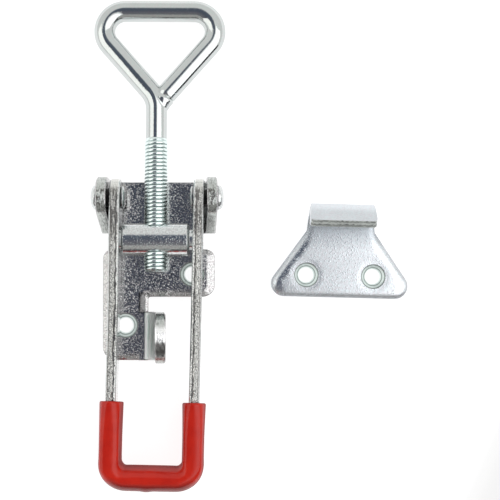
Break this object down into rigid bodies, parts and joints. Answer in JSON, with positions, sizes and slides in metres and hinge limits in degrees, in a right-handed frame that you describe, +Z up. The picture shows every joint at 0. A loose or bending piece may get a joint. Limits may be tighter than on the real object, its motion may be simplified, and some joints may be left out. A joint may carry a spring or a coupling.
{
  "type": "over centre toggle latch",
  "caption": "Adjustable hook-type over-centre toggle latch with a threaded wire loop, a coated U handle, a padlock lug and its separate catch plate.",
  "frame": {"origin": "midway between the bracket's two screw holes, on its mounting face", "axes": "+Z up from the mounting face, +Y from the latch towards its hook, +X towards the side where the catch plate lies"},
  "size_m": [0.1074, 0.1667, 0.026],
  "materials": {
    "zinc_sheet": "bright zinc plating on pressed sheet steel, sheared edges",
    "zinc_bar": "bright zinc plating on drawn steel bar",
    "dip_coat": "glossy red dipped vinyl"
  },
  "bodies": {
    "base": {"base_bracket": "zinc_sheet", "left_rivet": "zinc_bar", "right_rivet": "zinc_bar", "catch_plate": "zinc_sheet"},
    "handle": {"handle_frame": "zinc_sheet", "handle_grip": "dip_coat"},
    "trunnion": {"trunnion": "zinc_bar"},
    "hook": {"hook_bolt": "zinc_bar"}
  },
  "joints": [
    {"name": "handle_pivot", "type": "hinge", "parent": "base", "child": "handle", "pos_m": [0, 0.0343, 0.013], "axis": [-1, 0, 0], "range_deg": [0, 160]},
    {"name": "trunnion_turn", "type": "hinge", "parent": "handle", "child": "trunnion", "pos_m": [0, 0.02035, 0.0104], "axis": [-1, 0, 0], "range_deg": [-153, 0.5]},
    {"name": "hook_reach", "type": "slide", "parent": "trunnion", "child": "hook", "axis": [0, 0.9963, -0.0865], "range_m": [-0.01125, 0.0075]}
  ],
  "couplings": [
    {"joint": "trunnion_turn", "follows": "handle_pivot", "ratio": -0.955}
  ]
}
